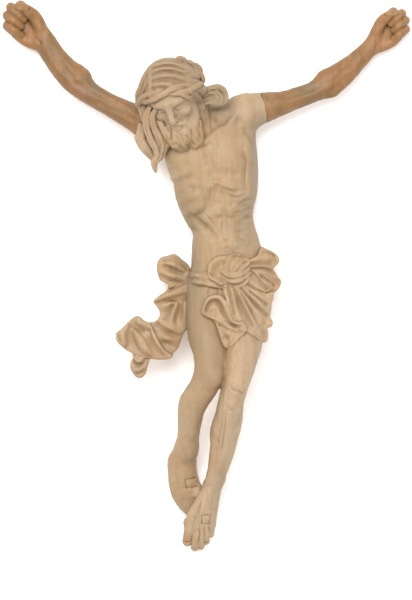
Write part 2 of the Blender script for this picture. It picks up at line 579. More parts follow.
def headLimb(stations, **options):
    return limb([(*onHead(*s[:3]), *s[3:]) for s in stations], **options)


def headBall(place, radii):
    return ball(onHead(*place), radii, head["turn"])


def carveHead(wood):
    wood.add(limb([(-3, 119, 25, 15, 14), (-12, 130, 34, 12.5, 12.5), (*onHead(0, -8, -8), 12.5, 12.5)]), 6)
    wood.add(headBall((0, 3, -3), (20, 22.4, 23.6)), 3)
    wood.add(headBall((0, -12, 6), (15, 18.4, 14.2)), 5)
    wood.add(headBall((0, -25.5, 15.5), (6.4, 5.4, 5.4)), 4)
    wood.add(headLimb([(-11, 3.6, 17, 2), (-5, 4.6, 19.9, 2.2), (5, 4.6, 19.9, 2.2), (11, 3.6, 17, 2)]), 3)
    for side in (-1, 1):
        wood.add(headBall((10 * side, -9.5, 14), (5.6, 4.6, 4.8)), 4)
        brow = [(12.4 * side, 0.4, 14.6, 1.1), (8 * side, 3, 18.8, 1.6), (3 * side, 1.6, 20.6, 1.4)]
        wood.add(headLimb(brow), 2.5)
        wood.cut(headBall((7.2 * side, -2.4, 22.4), (4.4, 2.6, 3.2)), 2.4)
        wood.add(headBall((7.2 * side, -3.1, 15.4), (4.1, 3.2, 4.1)), 1.3)
        lid = [(3.6 * side, -3.6), (5.4 * side, -4.9), (8.6 * side, -5), (10.8 * side, -3.4)]
        wood.cut(headLimb([(x, y, 19.5 - 0.026 * (x - 6 * side) ** 2, 0.5) for x, y in lid]), 0.5)
        upper = [(3.8 * side, -1.4), (5.6 * side, -0.4), (8.4 * side, -0.4), (10.8 * side, -1.8)]
        wood.cut(headLimb([(x, y, 19.3 - 0.03 * (x - 6 * side) ** 2, 0.5) for x, y in upper]), 0.8)
        wood.add(headBall((2.5 * side, -12.2, 22), (1.8, 1.7, 2.4)), 1.5)
        wood.cut(headBall((1.6 * side, -13.8, 23.2), (0.7, 0.8, 1)), 0.5)
        moustache = [
            (1.6 * side, -16.2, 21.6, 1.3), (4.6 * side, -17.8, 20.6, 1.7), (7.8 * side, -21.4, 17.4, 1.7),
            (9.6 * side, -26, 13.6, 1.2),
        ]
        wood.add(headLimb(moustache, strands=(5, 0.45, 0.4)), 1.3)
    wood.add(headLimb([
        (0, 3, 20.2, 2.6, 2), (0, -4, 22.4, 2.5, 2.3), (0, -9, 24.6, 2.4, 2.3), (0, -11.4, 25.3, 2.4, 2.3),
    ]), 2.4)
    wood.add(headLimb([(-3.4, -18.8, 20.9, 0.7), (0, -18.3, 22.2, 0.9), (3.4, -18.8, 20.9, 0.7)]), 0.7)
    wood.add(headLimb([(-3.2, -20.7, 20.6, 0.9), (0, -20.9, 21.9, 1.3), (3.2, -20.7, 20.6, 0.9)]), 0.7)


def carveBeard(wood):
    chin = onHead(0, -22, 12)
    wood.add(limb([(*chin, 13, 8.4), (-21, 112.6, 54, 11.6, 7.4), (-18.6, 107.4, 51, 7.4, 5.4)]), 3)
    wood.add(headLimb([(-14.6, -7, 8, 3), (-14.4, -17, 10.6, 4), (-10, -27, 12, 5)]), 2.4)
    wood.add(limb([
        (*onHead(14.6, -7, 8), 3.4), (*onHead(14.6, -19, 8), 5), (-9, 112, 51, 7, 5), (-5.6, 109.4, 49, 4),
    ]), 2.4)
    # the locks of the beard are waved lines cut down from the cheeks and lip to its two tips
    cuts, wave = 15, 1.1
    roots = [(-36, 127), (-31.4, 121.6), (-24.6, 118.4), (-15.4, 120.6), (-8, 127.6), (-4.6, 134)]
    tips = [(-31.4, 112.6), (-26, 105.4), (-18.4, 101.4), (-9.6, 105.4), (-3, 110.4), (-0.6, 116)]
    for n, (root, tip) in enumerate(zip(alongCurve(roots, cuts), alongCurve(tips, cuts))):
        aside = np.array([root[1] - tip[1], tip[0] - root[0]]) / np.linalg.norm(tip - root)
        start = 0.12 * (n % 3)
        for first, last in ((start, 0.62), (0.66, 1.02)):
            route = []
            for step in range(5):
                w = first + (last - first) * step / 4
                sway = wave * math.sin(6.4 * w + 2.1 * n) + 0.6 * (n % 2)
                route.append(root + (tip - root) * w + aside * sway)
            crease(wood, route, deep=0.8, wide=0.62)


def carveHair(wood):
    wood.add(headBall((0.6, 2, -4), (23.8, 21.4, 23.6)), 1.5)
    wood.add(headBall((0.6, 2, -4.4), (24.6, 22.2, 23.8)), 1.5)
    capEdge = [
        (-56.4, 149.3), (-56, 155.8), (-54, 161.5), (-49.9, 168), (-45.8, 171.2), (-37.7, 175.3),
        (-29.6, 176.9), (-20.7, 176.5), (-15.8, 173.6), (-12.6, 166.3), (-13.4, 159.8), (-16.6, 155.8),
        (-23.1, 154.2), (-29.6, 150.9), (-36.9, 145.2), (-45.8, 144.4), (-54, 141.2),
    ]
    combHollows = [
        [(-43.4, 172, -0.2), (-33.7, 174, -0.2), (-24.7, 173.8, -0.2), (-17.4, 171.2, -0.1)],
        [(-42.2, 168, -0.1), (-35.3, 169.9, -0.3), (-26.4, 169.7, -0.3), (-18.3, 167, -0.2)],
        [(-42.2, 163.4, -0.1), (-36.1, 165.5, -0.4), (-27.2, 165.3, -0.4), (-19.1, 163.1, -0.3),
         (-15, 160.3, -0.2)],
        [(-42.2, 157.4, -0.1), (-36.1, 158.5, -0.4), (-28, 158.5, -0.4), (-19.9, 156.4, -0.3)],
        [(-42.2, 151.3, -0.1), (-37.7, 152.1, -0.3), (-31.2, 150.9, -0.3)],
    ]
    combCrests = [
        [(-43.4, 169.8, 0.8), (-34.5, 172, 1), (-25.6, 171.9, 1), (-17.4, 169.2, 0.7)],
        [(-43.4, 165.3, 0.8), (-35.7, 167.7, 1), (-26.8, 167.5, 1), (-18.3, 165, 0.8)],
        [(-43.4, 159.8, 0.8), (-36.1, 162, 1.1), (-27.6, 162, 1.1), (-18.3, 159.6, 0.8)],
        [(-43.4, 153.9, 0.8), (-36.9, 155.3, 1), (-29.6, 154.8, 0.9)],
        [(-43.4, 147.7, 0.8), (-37.7, 148.2, 0.8)],
    ]
    parting = [
        [(-45.6, 172.4, 1.3), (-46.1, 166.3, 1.6), (-46.1, 156.6, 1.6), (-46, 145.2, 1.4)],
    ]
    sideHollows = [
        [(-48, 169.6, -0.1), (-51.5, 163.9, -0.3), (-54.2, 157.4, -0.2)],
        [(-48, 162.3, -0.2), (-51.1, 155, -0.3), (-54, 146.9, -0.2)],
        [(-48, 154.2, -0.2), (-49.9, 148.5, -0.3), (-51.5, 142.8, -0.1)],
    ]
    sideCrests = [
        [(-48, 165.9, 0.6), (-51.9, 159.8, 0.8), (-54.5, 153.4, 0.6)],
        [(-48, 158.2, 0.7), (-51, 151.7, 0.8), (-53.1, 144.4, 0.6)],
        [(-47.9, 150.1, 0.6), (-49.1, 144.4, 0.6)],
    ]
    combed = combHollows + combCrests + parting + sideHollows + sideCrests
    strandHeight = 1.5
    strands = [[(x, y, strandHeight * h) for x, y, h in fold] for fold in combed]
    wood.emboss(capEdge, strands, depth=9, fade=1.2, reach=5)
    for route in combHollows + sideHollows:
        crease(wood, route, deep=0.55, wide=0.5, ends=0.3, fillet=0.5)
    backLocks = [
        [(-24.7, 174.5), (-20.7, 175.4), (-16.6, 172), (-15, 166.3)],
        [(-19.1, 171.2), (-14.2, 172), (-11, 169.2), (-10.1, 163.1)],
        [(-15, 166.3), (-10.1, 170), (-5.7, 168), (-6.1, 163.1), (-8.5, 159)],
        [(-11.8, 159.8), (-7.7, 164.3), (-3.4, 160.3), (-4.9, 156.6), (-7.7, 155)],
    ]
    for lock, z in zip(backLocks, (66, 62, 57, 56)):
        stations = [(x, y, z - 2.4 * i, 2.3 + 0.9 * (i == 1)) for i, (x, y) in enumerate(lock)]
        wood.add(limb(stations, strands=(4, 1.1, 0.25)), 0.5)
    wood.add(ball((-15, 163, 54), (9.6, 8, 10)), 3)
    wood.add(ball((-8.6, 165, 51), (5, 6.4, 5)), 1)
    betweenLocks = (
        [(-16.6, 172.8), (-11, 169.6), (-7.7, 164.7), (-6.5, 159)],
        [(-13.4, 174.9), (-8.5, 171.2), (-4.5, 169.6)], [(-13.4, 160.7), (-8.5, 159.8), (-3.7, 158.2)],
    )
    for route in betweenLocks:
        crease(wood, route, deep=0.8, wide=0.9, fillet=0.8, ends=0.3)
    temple = [(-50.4, 155, 64, 3.6), (-54, 148, 62, 3.6), (-53.6, 141, 58, 3.4)]
    wood.add(limb(temple, strands=(4, 0.8, 0.1)), 1)
    wood.add(limb([(-52.4, 142, 60, 3), (-52, 135, 59, 3), (-50, 127, 56, 2.6)], strands=(4, 0.9, 0.1)), 1)


wreath = {
    # a ring of two withies wound round each other
    "centre": (-29.4, 146.8, 56), "turn": turned(0, 0, 13.4) @ turned(-4.6, 0, 0), "radius": 26,
    "turns": 3, "startTurn": 0.35, "swing": (1.3, 2.5), "withy": 2.6, "steps": 60,
}


def carveWreath(wood):
    inOut, upDown = wreath["swing"]
    for phase in (0, math.pi):
        withy = []
        for i in range(wreath["steps"] + 1):
            t = 2 * math.pi * i / wreath["steps"]
            twist = wreath["turns"] * t + phase + wreath["startTurn"]
            r = wreath["radius"] + inOut * math.cos(twist)
            place = np.array([r * math.sin(t), upDown * math.sin(twist), r * math.cos(t)])
            withy.append((*(wreath["turn"] @ place + wreath["centre"]), wreath["withy"]))
        wood.add(limb(withy, steps=1, strands=(3, 0.5, 0.25)), 0.5)


def carveLocks(wood):
    locks = [
        [(-45.8, 136.3), (-48.7, 129), (-47.5, 119.3), (-44.2, 111.2), (-40.2, 103.9), (-39.1, 97.4),
         (-42.2, 92.5), (-41.4, 86)],
        [(-41, 135.5), (-43.6, 129), (-41.8, 120.9), (-38.1, 113.6), (-35.3, 106.3), (-35.7, 100.6),
         (-37.3, 95.7)],
        [(-38.9, 126.6), (-36.6, 122.5), (-33.7, 118.1), (-31.2, 113.6), (-30.8, 108.7), (-33.3, 103)],
        [(-52.7, 120.9), (-53.1, 112), (-49.1, 105.5), (-45, 99.8), (-42.2, 94.9)],
    ]
    heights = (
        (68, 63, 58, 54, 50, 47, 44, 42), (70, 65, 60, 56, 52, 48, 45), (61, 60, 57.6, 55, 52, 48),
        (46, 42, 41, 39, 37),
    )
    widths = (
        (2, 2.6, 3.1, 3.3, 3.3, 3.1, 2.7, 1.6), (2, 2.6, 3, 3.4, 3.5, 3, 1.6), (1.4, 2.4, 3.1, 3.2, 2.8, 1.4),
        (3.4, 5, 5, 4, 2),
    )
    for lock, height, width in zip(locks, heights, widths):
        stations = [(x, y, z, w, w * 0.95) for (x, y), z, w in zip(lock, height, width)]
        wood.add(limb(stations, strands=(4, 1, 0.1)), 0.6)
    wood.add(ball((6.4, 140.6, 43.6), (9, 3.6, 5)), 1.2)
    wood.add(ball((-50, 139, 55), (4, 5, 7)), 1.2)
    wood.add(limb([(-43, 132, 46, 8), (-45, 120, 38, 7), (-43, 108, 36, 6), (-41, 99, 38, 4)]), 1.5)
    wood.add(limb([(-16, 148, 50, 9), (-9, 138, 44, 9), (-5, 127, 37, 8.4), (-4, 118, 34, 6)]), 3)
    wood.add(ball((-46.4, 134, 53), (7.6, 9, 9)), 1.5)
    wood.add(ball((-37, 124, 49), (7, 8, 7)), 1.5)
    wood.add(ball((-5, 151, 55), (6, 5.4, 9)), 1.5)
    sideHair = [
        [(-19.1, 146.1), (-14.2, 144.4), (-8.5, 140.4), (-2.8, 135.5)],
        [(-13.4, 149.3), (-8.5, 146.1), (-4.5, 141.2), (-2, 136.3)],
        [(-3.7, 136.3), (-2.4, 127.4), (-2, 117.7), (-0.4, 107.9)],
        [(0, 133.9), (1.2, 125.8), (1.2, 116.8), (0.4, 109.5)],
    ]
    for route, wide in zip(sideHair, (2.4, 2.4, 1.5, 1.3)):
        ridge(wood, route, lift=-0.5, wide=wide, deep=wide * 0.75, fillet=1.2, strands=(3, 0.6, 0.1))
    wood.add(ball((6, 144.6, 42), (9.6, 7.6, 7)), 2)
    bun = [
        [(-4.5, 150.5), (-0.4, 151.3), (4.5, 152.9), (9.3, 153.9), (13.4, 151.7), (15.7, 147.7),
         (15.4, 142.8), (12.6, 138.7)],
        [(-2.8, 146.9), (1.2, 148.7), (6.1, 149.6), (10.1, 147.4), (11.8, 143.2), (10.1, 138.7)],
        [(-2.8, 143.2), (1.2, 145.2), (5.3, 145.6), (8, 142.4), (7.3, 137.9)],
        [(-2.8, 139.6), (0.4, 141.3), (3.7, 140.8), (4.1, 137.1)],
    ]
    for n, arc in enumerate(bun):
        stations = []
        for i, (x, y) in enumerate(arc):
            last = i == len(arc) - 1
            z = 50 - 0.55 * n - 0.16 * (x + 4) - 0.012 * (x - 4) ** 2 - 3 * last
            stations.append((x, y, z, 2.3 - 0.9 * last))
        wood.add(limb(stations, strands=(3, 0.8, 0.1)), 0.7)
    for route in (
        [(-1.2, 148.5), (3.7, 150.9), (8.5, 149.7), (11.8, 146.1), (11, 141.2)],
        [(-0.4, 144.4), (3.7, 146.9), (6.9, 144.4), (7.7, 140.4)],
    ):
        crease(wood, route, deep=0.8, wide=0.8, fillet=0.8, ends=0.3)


cloth = {
    # heights of folds are over the wood beneath, or from the back plane where a back is given
    # back is the height of the cloth's underside, and least the lowest ground it is laid on
    "fan": {
        "outline": [
            (14.2, -7.3), (23.9, -8.9), (29.6, -4.9), (35.3, -8.5), (41.8, -11.4), (48.3, -13.4),
            (54, -11.8), (54, -17), (52.7, -21.1), (51.1, -26), (50.7, -30), (52.3, -34.1), (53.6, -37.3),
            (51.9, -40.6), (49.1, -41.4), (49.9, -45.4), (49.5, -50.3), (47.9, -52.7), (45, -52.3),
            (41, -49.5), (35.3, -46.2), (32.1, -44.2), (27.2, -43.8), (25.6, -39.8), (22.3, -37.3),
            (19.9, -33.3), (17.4, -25.2), (15.8, -18.7), (13.4, -12.2),
        ],
        "folds": [
            [(15.8, -9.7, 3.6), (17.7, -18.7, 3.9), (19.9, -27.6, 3.6), (21.9, -34.9, 3.4)],
            [(18.3, -9.7, 1.9), (20.3, -19.5, 1.6), (22.7, -29.2, 1.8)],
            [(20.7, -9.7, 4.2), (22.7, -19.5, 4.2), (24.7, -27.6, 3.8), (26.8, -35.7, 3.1)],
            [(23.1, -10.5, 1.8), (26, -19.5, 1.1), (28.8, -27.6, 0.4), (32.1, -33.3, 0.7),
             (35.7, -38.9, 1.2)],
            [(25.2, -9.7, 4.5), (29.6, -18.7, 4.9), (34.5, -28.4, 5), (40.2, -39.8, 4.7), (45, -49.5, 3.6)],
            [(27.6, -13, 2.7), (32.5, -21.9, 2.2), (37.7, -30.8, 1.9), (43, -40.6, 1.9), (48.3, -50.3, 2)],
            [(28, -11.4, 4.5), (35.3, -20.7, 5), (42.2, -30.4, 5.1), (47.5, -41.4, 4.2)],
            [(28.2, -10.1, 2), (35.3, -18.4, 1.2), (42.6, -26, 0.9), (51.9, -34.6, 1.4)],
            [(44.2, -32.1, 3.2), (47.8, -36.5, 3.1), (50.7, -41.4, 2.7)],
            [(29.6, -8.4, 4.7), (37.7, -16.5, 5.1), (45, -23.5, 4.9), (50.3, -29.2, 3.6)],
            [(31.6, -8.5, 2.8), (40.2, -15.8, 2.4), (48.3, -22.3, 2)],
            [(34.5, -10.1, 4.2), (42.6, -15.8, 4.6), (50.7, -21.1, 3.9)],
            [(48.3, -36.5, 2.6), (51.9, -37.3, 3.6)],
            [(35.3, -45.4, 2.6), (41.8, -48.9, 2.8), (47.5, -51.5, 2.8)],
        ],
        "least": 46,
    },
    "roll": {
        "outline": [
            (-3.7, -30), (-3.2, -25.2), (-1.2, -19.5), (2, -15.8), (6.1, -14.6), (11, -15), (14.2, -17.9),
            (17.4, -23.5), (19.9, -30.8), (21.5, -34.9), (25.6, -36.5), (29.6, -35.7), (32.9, -39.8),
            (32.9, -43.8), (29.6, -46.7), (26.4, -49.9), (22.3, -54), (18.3, -57.2), (15, -57.2),
            (12.2, -52.7), (9.3, -43.8), (6.1, -35.7), (0.4, -32.5),
        ],
        "folds": [
            [(-2.6, -28, 3.2), (-0.8, -21.9, 3.4), (2, -18.1, 3.4), (6.5, -16.6, 3.6), (11, -17.6, 3.9),
             (14, -21.7, 4.1), (16.2, -26.8, 4.1), (18.5, -32.5, 3.9), (21.5, -36.4, 3.6),
             (25.6, -38.1, 3.2), (29.6, -37.3, 2.6)],
            [(0, -26.8, 0.4), (2, -22.2, 0), (6.1, -19.8, -0.4), (9.9, -21.3, -0.8), (12, -26, -0.8),
             (14.4, -31.6, -0.4), (17.9, -36.8, 0.2), (22.7, -39.8, 1), (27.2, -40.2, 1.4)],
            [(2.3, -26.8, 2.5), (5.3, -23.8, 2.5), (8.5, -25, 2.5), (10.4, -29.2, 2.5), (12.6, -33.5, 2.4)],
            [(4.1, -28, 1.1), (7.7, -30.8, 1.3)],
            [(-2.8, -29.2, 2.8), (1.2, -30.8, 3), (6.1, -33.3, 3.2), (11, -35.7, 3.2), (15.8, -38.6, 3.2),
             (20.7, -41.4, 3), (26.4, -42.8, 2.6), (32.1, -42.6, 2.2)],
            [(5.7, -36.1, 1.5), (11.4, -39.4, 1.5), (17.9, -43, 1.5), (23.5, -44.9, 1.4)],
            [(8.9, -40.6, 2.8), (12.2, -47.9, 2.8), (15.4, -54.4, 2.6)],
            [(13.8, -42.2, 1.7), (16.5, -49.5, 1.7)],
            [(17.9, -45, 2.6), (18.9, -50.3, 2.6), (18.3, -55, 2.4)],
            [(22.3, -48.3, 2), (25.6, -45.4, 2)],
        ],
        "least": 55,
    },
    "lobe": {
        "outline": [
            (0.8, 3.2), (1.2, 8.9), (3.7, 13.4), (8.5, 16.2), (14.2, 17.4), (19.9, 17), (20.7, 10.5),
            (19.1, 4.1), (16.6, -3.2), (11.8, -6.5), (5.3, -3.2), (1.6, -0.4),
        ],
        "folds": [
            [(2, 1.6, 4.6), (2.4, 8.1, 5), (5.7, 12.7, 5.2), (11, 15.2, 5.4), (18.3, 15.8, 5.4)],
            [(5.3, 0, 3), (5.7, 5.3, 2.9), (8.5, 9.5, 3.2), (13.4, 11.8, 3.6), (18.3, 12.2, 4)],
            [(8.5, -1.6, 4.6), (9.7, 3.2, 4.8), (13, 7.1, 5.2), (17.4, 8.5, 5.6)],
            [(11.8, -3.2, 3.8), (13.4, 1.6, 3.8), (16.6, 4.5, 4.4)],
            [(15, -4.9, 4.6), (17.4, 0.4, 5)],
        ],
    },
    "bow": {
        "outline": [
            (32.1, 12.2), (35.3, 14.2), (40.2, 16.6), (43.4, 21.9), (45, 24.3), (48.3, 22.7), (52.3, 21.1),
            (56.4, 18.7), (58.8, 15), (58.4, 11.4), (55.6, 8.5), (54, 6.9), (55.2, 4.1), (58, 0),
            (60.4, -3.2), (59.6, -7.3), (57.2, -10.5), (54, -13), (45, -13.8), (36.9, -11.4), (31.2, -8.5),
            (28, -5.7),
        ],
        "folds": [
            [(44.2, 19.5, 49.5), (49.9, 19.9, 45), (55.2, 17, 38.5)],
            [(35.3, 12.6, 54.5), (41.8, 14.8, 53.5), (48.3, 15.6, 49.5), (56.4, 14.2, 39.5)],
            [(36.9, 10.3, 52), (45, 10.7, 49), (52.3, 10.7, 42.5)],
            [(36.9, 8.6, 54.5), (45, 8.9, 52), (52.3, 8.4, 45)],
            [(36.9, 6.5, 52), (45, 7.1, 49), (51.5, 4.9, 43), (54.8, 2.6, 39)],
            [(37.7, 4.9, 54.5), (45, 2.8, 52), (52.3, -0.4, 45), (58.8, -4.1, 36)],
            [(44.2, 0.6, 49.5), (49.9, -3.2, 45), (54.8, -6.9, 39)],
            [(40.2, 2.3, 54), (45.8, -3.7, 51), (51.5, -8.1, 46), (55.6, -9.7, 41)],
            [(36.1, 4.5, 52), (41, -0.8, 51), (45, -5.7, 49), (49.1, -10.1, 45.5)],
            [(32.9, 0.8, 54.5), (36.9, -4.9, 54.5), (42.6, -9.3, 53), (47.5, -11.8, 50)],
            [(29.6, -6.1, 52), (34.5, -9.3, 52), (41, -11.8, 51), (48.3, -13.8, 46.5), (54, -13, 40.5)],
        ],
        "back": 20,
    },
    "flap": {
        "outline": [
            (-13.4, 7.3), (-19.9, 14.2), (-23.1, 17), (-26.8, 18.7), (-31.2, 17.4), (-36.1, 16.2),
            (-38.9, 13.8), (-40.2, 9.7), (-40.2, 5.7), (-38.9, 0.8), (-37.7, -2.4), (-34.5, -4.1),
            (-31.2, -5.7), (-30.8, -8.9), (-23.1, -9.7), (-15.8, -5.7),
        ],
        "folds": [
            [(-15.8, 7.3, 30), (-21.5, 13.4, 34.5), (-28, 15.8, 36), (-35.3, 13, 35)],
            [(-18.3, 5.3, 34.5), (-26.4, 9.7, 39), (-34.5, 11.8, 37.5)],
            [(-19.1, 2.8, 32), (-26.4, 5.3, 34), (-32.9, 8.1, 34.5)],
            [(-19.9, 0, 35), (-28, 1.2, 38.5), (-36.9, 4.9, 36)],
            [(-21.5, -5.7, 31), (-31.2, -3.2, 33), (-37.7, -0.4, 31)],
        ],
        "back": 20, "edge": 2,
    },
    "ribbon": {
        "outline": [
            (-13.4, -1.6), (-19.1, -3.2), (-28, -6.9), (-31.6, -9.7), (-33.7, -12.2), (-36.9, -14.2),
            (-40.2, -16.6), (-43.2, -19.5), (-41, -23.1), (-38.1, -27.2), (-37.7, -30.8), (-39.4, -34.1),
            (-42.6, -36.5), (-46.7, -37.3), (-44.2, -47.9), (-37.7, -60), (-29.6, -65.7), (-27.2, -61.7),
            (-24.7, -59.6), (-22.3, -56), (-20.7, -51.1), (-19.1, -46.2), (-15.8, -42.2), (-13.4, -38.9),
        ],
        "folds": [
            [(-16.6, -3.7, 30), (-24.7, -7.3, 31), (-32.1, -11.4, 30), (-36.9, -15, 29)],
            [(-15.8, -6.5, 34.5), (-24.7, -11.8, 38), (-33.7, -15.8, 37.5), (-41.8, -19.3, 32)],
            [(-15.8, -17.9, 32), (-24.7, -19.3, 33), (-34.5, -19.5, 33), (-41, -21.5, 30)],
            [(-28, -20.9, 36.5), (-33.7, -23.1, 36), (-37.7, -25.6, 33)],
            [(-27.2, -23.5, 33), (-31.2, -28.4, 32.5), (-34.5, -33.3, 32)],
            [(-23.9, -21.5, 36.5), (-27.2, -28.4, 38), (-28.8, -36.5, 37)],
            [(-21.1, -20.3, 33.5), (-21.9, -28.4, 33), (-23.9, -35.7, 33)],
            [(-17.9, -19.9, 36.5), (-17.6, -30.8, 36.5), (-18.3, -40.6, 34)],
            [(-36.1, -35.7, 34.5), (-28.8, -41.4, 37.5), (-22.3, -44.2, 34.5)],
            [(-42.6, -38.9, 31), (-36.1, -43.8, 32.5), (-28, -46.2, 33), (-21.5, -48.3, 32)],
            [(-37.7, -47.1, 34.5), (-31.2, -49.5, 37), (-22.3, -51.1, 33)],
            [(-34.5, -54, 33), (-28, -55.2, 33.5), (-23.1, -56, 32)],
            [(-31.2, -59.2, 34.5), (-25.6, -58.8, 33.5)],
        ],
        "back": 17, "edge": 1.6,
    },
    "tip": {
        "outline": [
            (-59.6, -58.4), (-59.2, -64.9), (-61.3, -69), (-61.8, -73.8), (-59.6, -78.3), (-57.2, -81.1),
            (-54.4, -82), (-51.5, -80.7), (-49.1, -77.5), (-48, -73), (-46.7, -68.2), (-45.4, -60.9),
        ],
        "folds": [
            [(-48.3, -60.9, 36), (-51.5, -62.5, 37), (-54.8, -62.1, 37), (-57.2, -64.5, 37),
             (-57.2, -67.8, 37.5), (-54.4, -68.6, 37.5), (-52.3, -66.1, 36.5)],
            [(-58.8, -62.5, 34), (-59.1, -66.5, 33.5), (-57.6, -70.4, 33), (-54, -71.1, 33.2),
             (-50.3, -68.6, 34), (-48.3, -64.9, 34)],
            [(-60.4, -73.8, 34.5), (-58, -75.1, 36), (-54.4, -75.1, 36.8), (-50.7, -72.2, 36.8),
             (-48.3, -69, 35)],
            [(-58.4, -78.7, 32.5), (-54, -78.3, 33), (-50.3, -76.7, 33)],
        ],
        "back": 24, "edge": 1.8,
    },
    "end": {
        "outline": [
            (-46.2, -37.3), (-49.9, -35.7), (-53.1, -32.9), (-56, -31.6), (-59.6, -32.9), (-62.9, -35.7),
            (-66.9, -39.8), (-71, -43.4), (-73.4, -45.4), (-74.2, -48.7), (-72.6, -52.3), (-69.8, -55.6),
            (-66.1, -58.4), (-62.9, -60.4), (-59.6, -62.1), (-54, -64.9), (-45.8, -66.1), (-37.7, -66.9),
            (-29.6, -66.1), (-27.6, -62.9), (-31.2, -60.9), (-34.5, -58), (-37.7, -53.6), (-41, -47.1),
            (-43.8, -41),
        ],
        "folds": [
            [(-45.4, -40.6, 40.5), (-41, -48.7, 42.5), (-36.5, -56.4, 42.5), (-30.4, -62.9, 39.5)],
            [(-49.1, -45.4, 38), (-45.8, -52.3, 38), (-41.8, -58.8, 38.5), (-36.9, -63.7, 37)],
            [(-58, -43.4, 40), (-52.3, -52.3, 41.5), (-46.7, -60.9, 41), (-42.6, -64.9, 38)],
            [(-62.1, -37.3, 37), (-58.8, -41.8, 36.5), (-53.1, -43.8, 36.5), (-46.7, -43.4, 37.5)],
            [(-59.6, -34.5, 38), (-55.6, -34.5, 40.5), (-50.7, -38.1, 41), (-47.5, -40.6, 39.5)],
            [(-64.5, -39.8, 40), (-68.6, -46.2, 41.5), (-66.9, -53.6, 40)],
            [(-61.7, -43, 37.5), (-61.3, -51.9, 35.5), (-58.8, -58.8, 36)],
            [(-72.6, -47.9, 36.5), (-69.8, -54, 37)],
            [(-63.7, -58.4, 36), (-55.6, -63.7, 37), (-45.8, -64.9, 37)],
        ],
        "back": 27, "edge": 1.8, "fillet": 0.5,
    },
}


def drape(wood, name):
    # lays one piece of cloth and sharpens its hollows with a knife line
    piece = cloth[name]
    wood.sheet(**piece)
    level = np.mean([p[2] for fold in piece["folds"] for p in fold])
    for fold in piece["folds"]:
        if len(fold) > 2 and np.mean([p[2] for p in fold]) < level - 0.3:
            crease(wood, fold, deep=0.6, wide=0.5, ends=0.3, fillet=0.5)


def carveWrap(wood):
    hem = [(46, -24, 34, 4), (46.8, -37, 34, 3.8), (44.6, -48, 36, 3.6)]
    hip = [
        (30, 12, 25, 18, 20.5), (32.6, -4, 28, 18, 22), (35, -20, 32, 17.8, 20.4),
        (34.8, -29, 35, 16.6, 18.4),
    ]
    lap = [(17, -10, 46, 9, 8), (17, -24, 48, 9, 8), (18, -36, 51, 7.6, 6.6), (18, -45, 54.6, 4.8, 4)]
    for filling, fillet in ((hem, 2), (hip, 3), (lap, 3)):
        wood.add(limb(filling), fillet)
    drape(wood, "fan")
    drape(wood, "roll")
    crease(wood, [(1.4, -8), (1.6, -12), (1, -16.4)], deep=0.8, wide=1)


def carveKnot(wood):
    bandCords = [
        [(-19.1, 1.8, 3.2), (-9.3, 1, 3.2), (-0.4, 0.2, 3.2), (5.7, -1.9, 2.9), (11.8, -5.3, 2.2)],
        [(-18.3, -3.2, 3), (-8.5, -3.9, 3), (0.4, -4.9, 3), (8.5, -6.5, 2.6), (15.8, -7.7, 1.8)],
    ]
    for cord in bandCords:
        stations = [(x, y, wood.front(x, y) + 0.2, r, r) for x, y, r in cord]
        wood.add(limb(stations, strands=(3, 0.7, 0.22)), 0.7)
    for y in (1.6, -4):
        wood.add(limb([
            (-16, y, 30, 3.2), (-14.4, y + 0.6, 16, 3.2), (-9, y + 1, 4, 3.2), (16, y + 6, -3, 3.2),
            (44, y + 8, 8, 3.2), (47, y + 8, 22, 3.2),
        ], strands=(3, 0.7, 0.22)), 1)
    drape(wood, "bow")
    drape(wood, "lobe")
    wood.add(ball((24.2, 4.4, 51), (11.6, 12.2, 8.6), (0, 0, -10)), 1)
    knotCords = [
        [(15.8, 12.6), (18.7, 15.8), (23.1, 17.3), (28.4, 16), (32.9, 12.6), (35.3, 8.1)],
        [(11.8, 4.9), (19.1, 1.1), (27.2, 2.2), (34.5, 6.9)],
        [(13.4, 0), (19.9, -3.2), (28, -1.9), (35.3, 3)],
        [(15.4, -4.5), (21.5, -7.5), (28.8, -5.7), (34.9, -1.2)],
        [(19.1, 6.1), (21.9, 11), (25.6, 15)],
        [(22.3, 4.9), (26, 9.7), (30.4, 14)],
        [(26.4, 4.1), (30, 8.1), (34.1, 11.1)],
    ]
    for cord, wide in zip(knotCords, (2, 2.3, 2.2, 2.2, 2.1, 2.1, 1.9)):
        ridge(wood, cord, lift=-0.1, wide=wide, deep=1.9, fillet=0.6, strands=(3, 0.5, 0.1))


def carveTail(wood):
    for name in ("flap", "ribbon", "tip", "end"):
        drape(wood, name)


